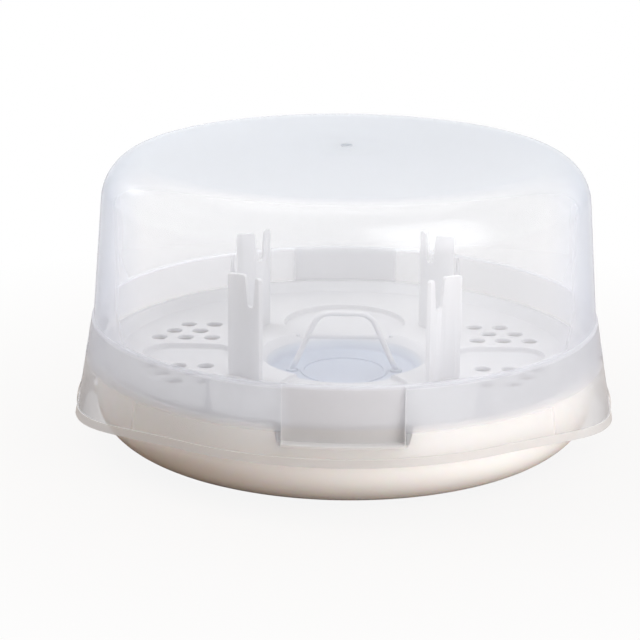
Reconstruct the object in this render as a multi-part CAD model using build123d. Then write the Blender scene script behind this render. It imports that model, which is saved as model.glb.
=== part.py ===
"""Microwave steam steriliser case: white water base, perforated tray with
four forked posts and a lifting loop, clear dome lid with two side clips.

Frame: +Z up, origin on the ground at the middle of the foot, front at -Y.
Millimetres and degrees throughout.
"""
from build123d import *
from math import asin, cos, degrees, radians, sin, sqrt
import os

# ---- base ---------------------------------------------------------------
base_radius = 130.0        # outside of the upright wall
base_corner_width = 29.0   # rounded corner, from the wall in to the foot
base_corner_height = 22.0  # and from the ground up to the wall
foot_ring_width = 7.0      # flat ring that the base stands on
foot_recess = 1.2          # underside inside the ring, above the ground
base_rim_height = 44.0     # top of the wall, where the tray sits
base_wall = 2.4
base_floor = 2.6
notch_height = 35.0        # floor of the front and rear rim notches
notch_slant = 12.0         # slope of the notch sides, from upright
ledge_reach = 1.8          # side ledges that the clips face
ledge_width = 22.0
ledge_height = 5.0

# ---- tray ---------------------------------------------------------------
tray_wall = 1.8
deck_height = 41.0         # top of the perforated deck
flange_setback = 1.5       # flange's edge inside the base's outside
deck_setback = 11.0        # deck turns up to the flange, in from there
basin_radius = 44.6        # mouth of the central basin
basin_step_radius = 40.9   # foot of its sloped lip
basin_step_drop = 4.1
basin_depth = 10.0
basin_draft = 3.0          # inward lean of the basin wall, mm
basin_ring_radius = 22.0   # raised ring on the basin floor
basin_ring_height = 0.8
pocket_radius = 33.4       # round pockets in front of and behind the basin
pocket_offset = 58.3
pocket_depth = 3.0
trough_width = 28.0        # long pockets to the left and the right
trough_inner = 58.0
trough_setback = 13.0      # outer end, in from the deck's edge
hole_diameter = 8.6        # steam holes
hole_pitch = 14.2
hole_row_start = 25.0      # first row, from the tray's middle line
hole_first = 71.5          # first hole in that row

# ---- posts --------------------------------------------------------------
post_x = 48.3              # middle of each curved plate
post_y = 44.0
post_heading = 52.0        # way that the hollow side faces, from +X
post_curve = 19.0          # middle radius of the curved plate
post_thickness = 2.0
post_chord = 21.5
post_top = 95.0
post_tongue = 1.2          # foot of the plate, let into the deck
fork_depth = 16.5
fork_width = 7.6
fork_floor_radius = 2.2
fork_offset = 2.2          # notch lies nearer to the inner horn
horn_round = 2.2

# ---- lifting loop -------------------------------------------------------
loop_rod = 2.9
loop_foot_spread = 55.0
loop_top_spread = 27.0
loop_top = 64.0
loop_corner = 9.5
loop_bar_height = 50.0
loop_pad_radius = 3.2
loop_pad_height = 1.2

# ---- lid ----------------------------------------------------------------
lid_wall = 1.6
lid_overhang = 1.0         # foot of the dome wall, beyond the base
bead_height = 65.0
bead_step = 1.0            # outward step under the dome wall
dome_lean = 4.75           # draft of the dome wall
dome_corner_height = 147.6 # where wall and crown would meet
dome_shoulder = 24.0
crown_height = 152.0
skirt_flare = 10.1         # lean of the skirt, from upright
skirt_front_height = 28.0  # skirt edge at the front and the rear
skirt_saddle_run = 68.4    # curved part of that edge, in from the skirt's foot
skirt_saddle_radius = 150.0
lip_height = 4.0           # thicker band along the edge
lip_thickness = 0.7
panel_half_width = 28.8    # set-back panels, front and rear
rib_angle = 30.0           # inner ribs that rest on the tray flange
rib_thickness = 1.3
rib_overlap = 2.5          # how far the ribs reach in over the flange
gate_radius = 3.0
gate_height = 0.8

# ---- side clips ---------------------------------------------------------
clip_width = 40.0
clip_wall = 1.9
clip_bottom = 12.4
clip_bulge = 1.6           # pull swells past the line of the skirt
clip_bulge_height = 20.0
clip_tuck = 1.2            # bottom edge falls back inside that line
clip_pivot_height = 50.0
clip_barrel_radius = 2.9
pin_radius = 1.5
pin_length = 2.6
boss_wall = 1.5
boss_setback = 1.4         # bosses' middle inside the skirt's outside
boss_length = 3.6
window_bottom = 28.0
window_top = 43.0
window_width = 28.0
nib_height = 3.0
nib_width = 18.0

# ---- clearances ---------------------------------------------------------
gap_panel_notch = 0.9      # lid panel above the notch floor
gap_panel_side = 0.8       # and to each side of it
gap_clip = 0.5             # clip to the lid all round
gap_pin = 0.06
gap_nib = 0.3              # clip nib to the base ledge
gap_tray_wall = 0.8        # tray wall inside the base wall

# ---- sizes that follow --------------------------------------------------
foot_radius = base_radius - base_corner_width
flange_radius = base_radius - flange_setback
deck_radius = base_radius - deck_setback
bead_radius = base_radius + lid_overhang
panel_height = notch_height + gap_panel_notch + lid_wall  # ledge under each panel
BIG = 3 * base_radius      # reach of cutters


def revolved(face):
    return revolve(face, axis=Axis.Z)


def in_xz(points):
    return Plane.XZ * make_face(Polyline(*points, close=True))


def section(*edges):
    """Upright half section from a closed chain of edges."""
    return Plane.XZ * make_face(Curve() + list(edges))


def both_sides(solid, plane):
    return [solid, mirror(solid, about=plane)]


def skirt_radius(height):
    """Outside radius of the skirt at a height."""
    drop = bead_height - bead_step - height
    return bead_radius + bead_step + drop * sin(radians(skirt_flare)) / cos(radians(skirt_flare))


# =========================================================================
# base
# =========================================================================
def bowl_face(inset, floor):
    """Half section of the bowl, pulled in by a wall."""
    top = base_rim_height
    corner = EllipticalCenterArc(
        (foot_radius, base_corner_height),
        base_radius - foot_radius - inset, base_corner_height - floor,
        start_angle=270, arc_size=90)
    return section(
        Line((0, floor), (foot_radius, floor)), corner,
        Polyline((base_radius - inset, base_corner_height), (base_radius - inset, top),
                 (0, top), (0, floor)))


def make_base():
    body = revolved(bowl_face(0, 0)) - revolved(bowl_face(base_wall, foot_recess + base_floor))
    under = foot_radius - foot_ring_width
    body -= Cylinder(under, foot_recess, align=(Align.CENTER, Align.CENTER, Align.MIN))

    # rim notches that the lid's set-back panels drop into
    low = panel_half_width + lid_wall + gap_panel_side
    rise = base_rim_height - notch_height
    high = low + rise * sin(radians(notch_slant)) / cos(radians(notch_slant))
    notch = in_xz([(-low, notch_height), (low, notch_height), (high, base_rim_height),
                   (high, base_rim_height + 5), (-high, base_rim_height + 5), (-high, base_rim_height)])
    body -= extrude(notch, BIG / 2, both=True) - Cylinder(foot_radius, BIG)

    # ledges under the clips' nibs
    ring = (Cylinder(base_radius + ledge_reach, ledge_height)
            - Cylinder(base_radius - base_wall / 2, ledge_height))
    ledge = Pos(0, 0, clip_bulge_height + ledge_height / 2) * ring & Box(BIG, ledge_width, BIG)
    return body + ledge


# =========================================================================
# tray
# =========================================================================
def tray_section():
    """Half section of the tray: flange, upstand, deck and basin."""
    t = tray_wall
    seat = base_rim_height
    wall_out = base_radius - base_wall - gap_tray_wall
    step = deck_height - basin_step_drop
    floor = deck_height - basin_depth
    foot = basin_step_radius - basin_draft
    return in_xz([
        (0, floor), (foot, floor), (basin_step_radius, step), (basin_radius, deck_height),
        (deck_radius, deck_height), (wall_out - t, seat + t), (flange_radius, seat + t),
        (flange_radius, seat), (wall_out, seat), (deck_radius + t, deck_height - t),
        (basin_radius + t, deck_height - t), (basin_step_radius + t, step - t / 2),
        (foot + t, floor - t), (0, floor - t)])


def cup(outline, depth):
    """Closed pocket hung under the deck: outline is its open face."""
    outer = extrude(Pos(0, 0, deck_height - depth - tray_wall) * offset(outline, tray_wall), depth + tray_wall)
    inner = extrude(Pos(0, 0, deck_height - depth) * outline, depth + 1)
    return outer, inner


def hole_places():
    """Hexagonal rows in one quadrant, kept off the trough, post and wall."""
    row_gap = hole_pitch * sin(radians(60))
    places = []
    for row in range(3):
        y = hole_row_start + row * row_gap
        for column in range(3):
            x = hole_first + (column + (row % 2) / 2) * hole_pitch
            if sqrt(x * x + y * y) < deck_radius - hole_diameter:
                places.append((x, y))
    return places


def make_tray():
    body = revolved(tray_section())
    basin = Pos(0, 0, deck_height - basin_depth - tray_wall) * Cylinder(
        basin_step_radius + tray_wall, basin_depth + 2 * tray_wall,
        align=(Align.CENTER, Align.CENTER, Align.MIN))

    pocket = Pos(0, pocket_offset) * Circle(pocket_radius)
    trough_outer = deck_radius - trough_setback
    middle = (trough_inner + trough_outer) / 2
    trough = Pos(middle, 0) * SlotOverall(trough_outer - trough_inner, trough_width)
    for outline, plane in ((pocket, Plane.XZ), (trough, Plane.YZ)):
        outer, inner = cup(outline, pocket_depth)
        for shape in both_sides(outer, plane):
            body += shape - basin
        for shape in both_sides(inner, plane):
            body -= shape

    # raised ring on the basin floor
    floor = deck_height - basin_depth
    ring = Cylinder(basin_ring_radius + 1, basin_ring_height) - Cylinder(basin_ring_radius - 1, basin_ring_height)
    body += Pos(0, 0, floor + basin_ring_height / 2) * ring

    # steam holes and the slots that take the posts' tongues
    drill = Cylinder(hole_diameter / 2, 4 * tray_wall)
    for x, y in hole_places():
        for sx in (-1, 1):
            for sy in (-1, 1):
                body -= Pos(sx * x, sy * y, deck_height) * drill
    for sx in (-1, 1):
        for sy in (-1, 1):
            body -= place_post(post_blank(deck_height - post_tongue, deck_height + 1), sx, sy)
    return body


# =========================================================================
# posts
# =========================================================================
def post_blank(low, high):
    """Curved plate between two heights, hollow side towards +X, middle at x=0."""
    half = degrees(asin(post_chord / 2 / post_curve))
    outer, inner = post_curve + post_thickness / 2, post_curve - post_thickness / 2
    ring = Circle(outer) - Circle(inner)
    reach = 2 * outer
    wedge = make_face(Polyline(
        (0, 0), (-reach * cos(radians(half)), reach * sin(radians(half))),
        (-reach * cos(radians(half)), -reach * sin(radians(half))), close=True))
    return extrude(Pos(post_curve, 0, low) * (ring & wedge), high - low)


def place_post(solid, sx, sy):
    """Set an upright plate into the corner of the deck that two signs give."""
    solid = Pos(post_x, post_y) * Rot(0, 0, post_heading) * solid
    if sx < 0 and sy < 0:
        return Rot(0, 0, 180) * solid
    if sx < 0:
        return mirror(solid, about=Plane.YZ)
    return mirror(solid, about=Plane.XZ) if sy < 0 else solid


def make_post(sx, sy):
    body = post_blank(deck_height - post_tongue, post_top)
    # fork, cut straight through the plate: flared mouth over a round floor
    floor = post_top - fork_depth
    mouth, throat = fork_width / 2, fork_floor_radius
    c = fork_offset
    fork = Plane.YZ * make_face(Polyline(
        (c - throat, floor), (c + throat, floor), (c + mouth, post_top),
        (c + mouth, post_top + 5), (c - mouth, post_top + 5), (c - mouth, post_top), close=True))
    cutter = extrude(fork, post_curve, both=True)
    cutter = fillet(cutter.edges().filter_by(Axis.X).group_by(Axis.Z)[0], throat * 0.85)
    body -= cutter
    horns = body.edges().filter_by(lambda e: abs(e.center().Z - post_top) < 0.1 and e.length < post_thickness * 1.5)
    body = fillet(horns, horn_round)
    return place_post(body, sx, sy)


# =========================================================================
# lifting loop
# =========================================================================
def make_handle():
    floor = deck_height - basin_depth
    r = loop_rod / 2
    foot, top = loop_foot_spread / 2, loop_top_spread / 2
    z_low, z_high = floor + loop_pad_height / 2, loop_top - r
    path = FilletPolyline((-foot, 0, z_low), (-top, 0, z_high), (top, 0, z_high), (foot, 0, z_low),
                          radius=loop_corner)
    rod = sweep(Plane(path @ 0, z_dir=path % 0) * Circle(r), path=path)
    lean = (foot - top) / (z_high - z_low)
    reach = foot - lean * (loop_bar_height - z_low)
    bar = Pos(0, 0, loop_bar_height) * Rot(0, 90, 0) * Cylinder(r, 2 * reach)
    pad = Pos(foot, 0, floor + loop_pad_height / 2) * Cylinder(loop_pad_radius, loop_pad_height)
    body = rod + bar
    for shape in both_sides(pad, Plane.YZ):
        body += shape
    return body - Box(BIG, BIG, 2 * floor)


# =========================================================================
# lid
# =========================================================================
def lid_face(inset, low=0.0):
    """Half section of everything inside the lid's surface, down to a height."""
    lean = sin(radians(dome_lean)) / cos(radians(dome_lean))
    top_r = bead_radius - (dome_corner_height - bead_height) * lean
    corner = (top_r - inset, dome_corner_height - inset)
    rise = crown_height - dome_corner_height
    face = section(
        RadiusArc((0, crown_height - inset), corner, (corner[0] ** 2 + rise ** 2) / (2 * rise)),
        Polyline(corner, (bead_radius - inset, bead_height),
                 (bead_radius + bead_step - inset, bead_height - bead_step),
                 (skirt_radius(low) - inset, low), (0, low), (0, crown_height - inset)))
    shoulder = face.vertices().sort_by_distance((corner[0], 0, corner[1]))[0]
    return fillet(shoulder, dome_shoulder - inset)


def under_edge(lift=0.0):
    """Everything below the skirt's saddle-shaped edge, raised by a lift."""
    z = skirt_front_height + lift
    reach = skirt_radius(0)
    flat = reach - skirt_saddle_run
    turn = degrees(asin(skirt_saddle_run / skirt_saddle_radius))
    end_z = z - skirt_saddle_radius * (1 - cos(radians(turn)))
    arc = CenterArc((flat, z - skirt_saddle_radius), skirt_saddle_radius, 90 - turn, turn)
    face = section(Line((0, z), (flat, z)), arc,
                   Polyline((reach, end_z), (reach, -5), (0, -5), (0, z)))
    side = extrude(face, BIG / 2, both=True)
    return side + mirror(side, about=Plane.YZ)


def panel_block(grow):
    """Front and rear blocks outside the set-back panels."""
    low = panel_height - grow
    block = Pos(0, -bead_radius, (low + bead_height) / 2) * Box(
        2 * (panel_half_width + grow), BIG / 4, bead_height - low)
    core = Cylinder(bead_radius - grow, BIG)
    blocks = both_sides(block - core, Plane.XZ)
    return blocks[0] + blocks[1]


def clip_gate(grow):
    """Space that one clip takes in the skirt, on the right."""
    top = clip_pivot_height + clip_barrel_radius + grow
    return Pos(bead_radius, 0, top / 2) * Box(BIG / 10, clip_width + 2 * grow, top)


def pivot_x():
    """The pin lies so far behind the round skirt that its straight bosses stay inside."""
    return skirt_radius(clip_pivot_height) - boss_setback - (pin_radius + gap_pin + boss_wall)


def make_lid():
    low = 5.0
    outer = revolved(lid_face(0, low)) - panel_block(0)
    inner = revolved(lid_face(lid_wall, low)) - panel_block(lid_wall)
    body = outer - inner

    # thicker band along the edge
    band = revolved(in_xz([
        (skirt_radius(low) - lid_wall / 2, low), (skirt_radius(low) + lip_thickness, low),
        (skirt_radius(bead_height / 1.5) + lip_thickness, bead_height / 1.5),
        (skirt_radius(bead_height / 1.5) - lid_wall / 2, bead_height / 1.5)]))
    body += band & under_edge(lip_height)
    body -= under_edge()

    # ribs that carry the lid on the tray's flange
    seat = base_rim_height + tray_wall
    inner_end = flange_radius - rib_overlap
    rib = in_xz([
        (inner_end, seat), (skirt_radius(seat) - lid_wall / 2, seat),
        (bead_radius + bead_step - lid_wall / 2, bead_height - bead_step),
        (bead_radius - lid_wall / 2, bead_height)])
    rib = extrude(rib, rib_thickness / 2, both=True)
    for angle in (rib_angle, -rib_angle):
        for side in (-90, 90):
            body += Rot(0, 0, side + angle) * rib

    # clip openings, with a boss for the pin at each end, trimmed to the skirt
    x = pivot_x()
    start = clip_width / 2 + gap_clip
    bosses = []
    for end in (-start - boss_length / 2, start + boss_length / 2):
        boss = Cylinder(pin_radius + gap_pin + boss_wall, boss_length)
        bosses.append(Pos(x, end, clip_pivot_height) * Rot(90, 0, 0) * boss & outer)
    bore = Pos(x, 0, clip_pivot_height) * Rot(90, 0, 0) * Cylinder(
        pin_radius + gap_pin, 2 * (start + pin_length + gap_clip))
    for gate in both_sides(clip_gate(gap_clip), Plane.YZ):
        body -= gate
    for boss in bosses:
        for shape in both_sides(boss, Plane.YZ):
            body += shape
    for shape in both_sides(bore, Plane.YZ):
        body -= shape

    # moulding gate mark in the middle of the crown
    body += Pos(0, 0, crown_height) * Cylinder(gate_radius, 2 * gate_height)
    return body


# =========================================================================
# side clips
# =========================================================================
def make_clip(left):
    x = pivot_x()
    top = clip_pivot_height
    z0, z1 = clip_bottom, clip_bulge_height
    line_mid = skirt_radius(window_bottom)
    outer = Spline(
        (skirt_radius(top), top), (line_mid, window_bottom),
        (skirt_radius(z1) + clip_bulge * 0.6, z1), (skirt_radius(z0) - clip_tuck, z0))
    inner = Spline(
        (skirt_radius(top) - clip_wall, top), (line_mid - clip_wall, window_bottom),
        (skirt_radius(z1) + clip_bulge * 0.6 - clip_wall, z1),
        (skirt_radius(z0) - clip_tuck - clip_wall, z0))
    profile = section(outer, inner, Line(outer @ 0, inner @ 0), Line(outer @ 1, inner @ 1))
    body = revolved(profile) & (Pos(BIG / 2, 0, 0) * Box(BIG, clip_width, BIG))

    window = Pos(bead_radius, 0, (window_bottom + window_top) / 2) * Box(
        BIG / 10, window_width, window_top - window_bottom)
    window = fillet(window.edges().filter_by(Axis.X), 2.5)
    body -= window

    barrel = Pos(x, 0, top) * Rot(90, 0, 0) * Cylinder(clip_barrel_radius, clip_width)
    pin = Pos(x, 0, top) * Rot(90, 0, 0) * Cylinder(pin_radius, clip_width + 2 * (gap_clip + pin_length))
    body = body + barrel + pin

    # nib facing the base ledge
    face_r = base_radius + ledge_reach + gap_nib
    nib_z = clip_bulge_height + ledge_height / 2
    ring = Cylinder(skirt_radius(nib_z), nib_height) - Cylinder(face_r, nib_height)
    nib = Pos(0, 0, nib_z) * ring & (Pos(BIG / 2, 0, 0) * Box(BIG, nib_width, BIG))
    body += nib
    return mirror(body, about=Plane.YZ) if left else body


# =========================================================================
parts = {
    "base_bowl": make_base(),
    "steam_tray": make_tray(),
    "tray_handle": make_handle(),
    "bottle_post_front_left": make_post(-1, -1),
    "bottle_post_front_right": make_post(1, -1),
    "bottle_post_rear_left": make_post(-1, 1),
    "bottle_post_rear_right": make_post(1, 1),
    "lid_dome": make_lid(),
    "side_clip_left": make_clip(True),
    "side_clip_right": make_clip(False),
}

os.makedirs("parts", exist_ok=True)
for name, shape in parts.items():
    shape.label = name
    export_step(shape, f"parts/{name}.step")
    print(name, len(shape.solids()), round(shape.volume), shape.is_valid)
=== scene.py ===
"""Microwave steam steriliser: moulded pieces, finishes, studio and camera."""
import math

import bpy
from mathutils import Matrix, Vector


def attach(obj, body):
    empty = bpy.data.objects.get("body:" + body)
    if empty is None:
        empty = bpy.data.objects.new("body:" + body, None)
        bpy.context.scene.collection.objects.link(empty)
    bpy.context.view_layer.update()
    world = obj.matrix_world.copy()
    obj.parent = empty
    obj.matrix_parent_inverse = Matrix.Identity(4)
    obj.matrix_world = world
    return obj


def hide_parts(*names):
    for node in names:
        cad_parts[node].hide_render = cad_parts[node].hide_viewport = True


bl_info = {
    "name": "Steam Steriliser",
    "version": (1, 0, 0),
    "blender": (4, 5, 0),
    "location": "View3D > Sidebar > Steriliser",
    "description": "Builds the pieces, finishes and studio of a microwave steam steriliser",
    "category": "Object",
}

MM = 0.001
SPIN_STEPS = 192
RAMP_TOP = 160  # height in mm at the top of the materials' ramps
LAMP_AIM = Vector((0, 0, 0.07))  # middle of the object, which every lamp faces
TURN_Z = Matrix.Rotation(math.pi, 4, "Z")
FLIP_X = Matrix.Diagonal((-1, 1, 1, 1))
FLIP_Y = Matrix.Diagonal((1, -1, 1, 1))
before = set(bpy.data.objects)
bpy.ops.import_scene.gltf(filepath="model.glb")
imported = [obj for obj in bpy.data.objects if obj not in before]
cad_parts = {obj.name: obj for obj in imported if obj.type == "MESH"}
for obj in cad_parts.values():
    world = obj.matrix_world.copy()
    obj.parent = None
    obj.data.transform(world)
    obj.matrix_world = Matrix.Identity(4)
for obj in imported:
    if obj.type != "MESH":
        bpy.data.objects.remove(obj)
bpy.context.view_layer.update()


# ---------------------------------------------------------------- settings
class StageSettings(bpy.types.PropertyGroup):
    """Camera, floor and lamps."""
    camera_back: bpy.props.FloatProperty(
        name="Camera distance", description="From the middle of the foot to the camera, level",
        default=1.039, unit="LENGTH")
    camera_height: bpy.props.FloatProperty(
        name="Camera height", description="Camera above the floor", default=0.367, unit="LENGTH")
    camera_pitch: bpy.props.FloatProperty(
        name="Pitch", description="Downward tilt", default=math.radians(16.52), subtype="ANGLE")
    camera_yaw: bpy.props.FloatProperty(
        name="Yaw", description="Turn to the right", default=math.radians(-0.71), subtype="ANGLE")
    camera_roll: bpy.props.FloatProperty(
        name="Roll", description="Turn about the view line", default=math.radians(0.46), subtype="ANGLE")
    lens: bpy.props.FloatProperty(
        name="Lens", description="Focal length on a 36 mm sensor", default=115.9)
    key_power: bpy.props.FloatProperty(
        name="Key lamp", description="Tall soft box on the right", default=29.0, unit="POWER")
    top_power: bpy.props.FloatProperty(
        name="Top lamp", description="Soft box overhead", default=7.0, unit="POWER")
    rim_power: bpy.props.FloatProperty(
        name="Rim lamp", description="Small soft box behind, on the left", default=0.7, unit="POWER")
    fill_power: bpy.props.FloatProperty(
        name="Fill lamp", description="Soft box high on the left, off the gloss", default=14.5, unit="POWER")
    world_level: bpy.props.FloatProperty(
        name="Room light", description="Level of the room on matt surfaces", default=1.0)
    room_shade: bpy.props.StringProperty(
        name="Room shade", description="Colour of the dim side of the room, sRGB hex", default="#241C15")
    paper: bpy.props.StringProperty(
        name="Paper", description="Colour of the paper sweep, sRGB hex", default="#8F8073")


def length(name, description, millimetres):
    return bpy.props.FloatProperty(name=name, description=description, default=millimetres * MM,
                                   unit="LENGTH")


def angle(name, description, degrees):
    return bpy.props.FloatProperty(name=name, description=description, default=math.radians(degrees),
                                   subtype="ANGLE")


class BaseSettings(bpy.types.PropertyGroup):
    """White water base."""
    colour: bpy.props.StringProperty(
        name="Colour", description="Colour of the white plastic, sRGB hex", default="#FAF9F8")
    radius: length("Radius", "Outside of the upright wall", 130)
    corner_width: length("Corner width", "Rounded corner, from the wall in to the foot", 29)
    corner_height: length("Corner height", "Rounded corner, from the ground up", 22)
    rim_height: length("Rim height", "Top of the wall", 44)
    wall: length("Wall", "Thickness of the wall", 2.4)
    floor: length("Floor", "Thickness of the floor", 2.6)
    recess: length("Recess", "Underside above the ground, inside the foot ring", 1.2)
    foot_ring: length("Foot ring", "Width of the flat ring under the base", 7)
    notch_height: length("Notch height", "Floor of the front and rear notches", 35)
    notch_half: length("Notch", "Half width of the notches at their floor", 31.2)
    notch_slant: angle("Notch slant", "Slope of the notch sides, from upright", 12)
    ledge_reach: length("Ledge reach", "How far the side ledges stand out", 1.8)
    ledge_width: length("Ledge width", "Width of the side ledges", 22)
    ledge_height: length("Ledge height", "Height of the side ledges", 5)
    ledge_low: length("Ledge place", "Bottom of the side ledges", 20)
    edge_round: length("Edge rounding", "Radius on moulded edges", 0.8)


class TraySettings(bpy.types.PropertyGroup):
    """Tray, posts and lifting loop."""
    tint: bpy.props.StringProperty(
        name="Tint", description="Colour of the milky plastic, sRGB hex", default="#E3E3E5")
    wall: length("Wall", "Thickness of the tray", 1.8)
    deck_height: length("Deck height", "Top of the perforated deck", 41)
    seat_height: length("Seat height", "Underside of the flange, on the base's rim", 44)
    flange_radius: length("Flange radius", "Edge of the flange", 128.5)
    wall_radius: length("Wall radius", "Foot of the flange, inside the base", 126.8)
    deck_radius: length("Deck radius", "Where the deck turns up to the flange", 119)
    basin_radius: length("Basin radius", "Mouth of the central basin", 44.6)
    step_radius: length("Step radius", "Foot of the basin's sloped lip", 40.9)
    step_drop: length("Step drop", "That foot below the deck", 4.1)
    basin_depth: length("Basin depth", "Basin floor below the deck", 10)
    basin_draft: length("Basin draft", "Inward lean of the basin's wall", 3)
    ring_radius: length("Ring radius", "Raised ring on the basin floor", 22)
    ring_height: length("Ring height", "Height of that ring", 0.8)
    pocket_radius: length("Pocket radius", "Round pockets, front and rear", 33.4)
    pocket_offset: length("Pocket place", "Middle of the round pockets, from the axis", 58.3)
    pocket_depth: length("Pocket depth", "Depth of the pockets and troughs", 3)
    trough_width: length("Trough width", "Long pockets, left and right", 28)
    trough_inner: length("Trough start", "Inner end of the long pockets", 58)
    trough_outer: length("Trough end", "Outer end of the long pockets", 106)
    hole_radius: length("Hole radius", "Steam holes", 4.3)
    hole_pitch: length("Hole pitch", "From hole to hole along a row", 14.2)
    hole_row_start: length("First row", "First row of holes, from the middle line", 25)
    hole_first: length("First hole", "First hole of that row", 71.5)
    post_x: length("Post place across", "Middle of each curved plate", 48.3)
    post_y: length("Post place in depth", "Middle of each curved plate", 44)
    post_heading: angle("Post heading", "Way that the hollow side faces", 52)
    post_curve: length("Post curve", "Middle radius of the curved plate", 19)
    post_thickness: length("Post thickness", "Thickness of the plate", 2)
    post_chord: length("Post width", "Width across the plate", 21.5)
    post_top: length("Post top", "Tips of the fork", 95)
    post_tongue: length("Post tongue", "Foot of the plate, let into the deck", 1.2)
    fork_depth: length("Fork depth", "Depth of the fork", 16.5)
    fork_width: length("Fork width", "Mouth of the fork", 7.6)
    fork_floor: length("Fork floor", "Half width of the fork's floor", 2.2)
    fork_offset: length("Fork offset", "The notch lies nearer to the inner horn", 2.2)
    horn_round: length("Horn rounding", "Radius on the fork's tips", 2.2)
    loop_rod: length("Loop rod", "Diameter of the lifting loop's rod", 2.9)
    loop_foot: length("Loop foot", "Spread of the feet", 55)
    loop_top_width: length("Loop width", "Spread of the upper corners", 27)
    loop_top: length("Loop top", "Top of the loop", 64)
    loop_corner: length("Loop corner", "Radius of the upper corners", 9.5)
    loop_bar: length("Loop bar", "Height of the cross bar", 50)
    pad_radius: length("Pad radius", "Foot pads of the loop", 3.2)
    pad_height: length("Pad height", "Foot pads of the loop", 1.2)
    edge_round: length("Edge rounding", "Radius on moulded edges", 0.5)


class LidSettings(bpy.types.PropertyGroup):
    """Clear lid and its side clips."""
    tint: bpy.props.StringProperty(
        name="Milk", description="Colour of the haze in the clear plastic, sRGB hex", default="#F5F5F6")
    wall: length("Wall", "Thickness of the plastic", 1.6)
    crown: length("Crown height", "Top of the lid", 152)
    corner_radius: length("Corner radius", "Where wall and crown would meet", 124.14)
    corner_height: length("Corner height", "Where wall and crown would meet", 147.6)
    shoulder: length("Shoulder", "Radius of the shoulder", 24)
    bead_radius: length("Bead radius", "Foot of the dome wall", 131)
    bead_height: length("Bead height", "Foot of the dome wall", 65)
    bead_step: length("Bead step", "Step between dome and skirt", 1)
    flare: angle("Flare", "Lean of the skirt, from upright", 10.1)
    edge_height: length("Edge height", "Skirt's edge at the front and rear", 28)
    edge_flat: length("Level edge", "Half width of the level part of the edge", 75)
    edge_arc: length("Edge arc", "Radius of the arched part of the edge", 150)
    lip: length("Lip", "Height of the thicker band on the edge", 4)
    lip_out: length("Lip thickness", "How far that band stands out", 0.7)
    panel_half: length("Panel", "Half width of the set-back panels", 28.8)
    panel_height: length("Panel height", "Ledge under the set-back panels", 37.5)
    rib_angle: angle("Rib angle", "Inner ribs, to each side of front and rear", 30)
    rib_thickness: length("Rib thickness", "Thickness of the inner ribs", 1.3)
    rib_inner: length("Rib reach", "Inner end of the ribs, from the axis", 126)
    rib_seat: length("Rib seat", "Foot of the ribs, on the tray's flange", 45.8)
    gate_radius: length("Gate mark", "Radius of the moulding mark on the crown", 3)
    gate_height: length("Gate mark height", "Height of that mark", 0.8)
    clip_half: length("Clip", "Half width of each clip", 20)
    clip_gap: length("Clip gap", "Clearance round each clip", 0.5)
    pivot_radius: length("Pivot radius", "Pin's distance from the axis", 130.0338)
    pivot_height: length("Pivot height", "Pin's height", 50)
    barrel: length("Barrel", "Radius of the clip's barrel", 2.9)
    pin: length("Pin", "Radius of the clip's pins", 1.5)
    pin_length: length("Pin length", "Length of each pin", 2.6)
    boss: length("Boss", "Radius of the lid's bosses", 3.06)
    boss_length: length("Boss length", "Length of the lid's bosses", 3.6)
    clip_wall: length("Clip wall", "Thickness of the clip", 1.9)
    clip_low: length("Clip foot", "Bottom of the clip", 12.4)
    clip_tuck: length("Clip tuck", "The foot falls back inside the skirt's line", 1.2)
    bulge: length("Clip bulge", "The pull stands out past the skirt's line", 0.96)
    bulge_height: length("Clip bulge height", "Fullest part of the pull", 20)
    window_low: length("Window foot", "Bottom of the clip's window", 28)
    window_high: length("Window top", "Top of the clip's window", 43)
    window_half: length("Window", "Half width of the clip's window", 14)
    nib_low: length("Nib place", "Bottom of the inner nib", 21)
    nib_height: length("Nib height", "Height of the inner nib", 3)
    nib_half: length("Nib", "Half width of the inner nib", 9)
    nib_face: length("Nib face", "Inner face of the nib, from the axis", 132.1)
    edge_round: length("Edge rounding", "Radius on moulded edges", 0.35)


# ------------------------------------------------------------------- tools
def linear(hex_colour):
    """An sRGB hex colour as linear RGBA."""
    parts = [int(hex_colour[i:i + 2], 16) / 255 for i in (1, 3, 5)]
    return (*[c / 12.92 if c <= 0.04045 else ((c + 0.055) / 1.055) ** 2.4 for c in parts], 1.0)


def node(tree, kind, links=(), **settings):
    """Adds a shader node, sets its inputs or options, and links what feeds it."""
    made = tree.nodes.new(kind)
    for name, value in settings.items():
        socket = made.inputs.get(name.replace("_", " "))
        if socket is not None:
            socket.default_value = value
        else:
            setattr(made, name, value)
    for source, output, name in links:
        tree.links.new(source.outputs[output], made.inputs[name])
    return made


def new_material(name):
    material = bpy.data.materials.new(name)
    material.use_nodes = True
    material.node_tree.nodes.clear()
    return material, material.node_tree


# ------------------------------------------------------------ shaping tools
def select_only(piece):
    bpy.ops.object.select_all(action="DESELECT")
    piece.select_set(True)
    bpy.context.view_layer.objects.active = piece


def arc(centre, radius, start, end, steps):
    """Points on an arc in the upright half plane, angles in degrees."""
    turns = [math.radians(start + (end - start) * i / steps) for i in range(steps + 1)]
    return [(centre[0] + radius * math.cos(t), centre[1] + radius * math.sin(t)) for t in turns]


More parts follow.
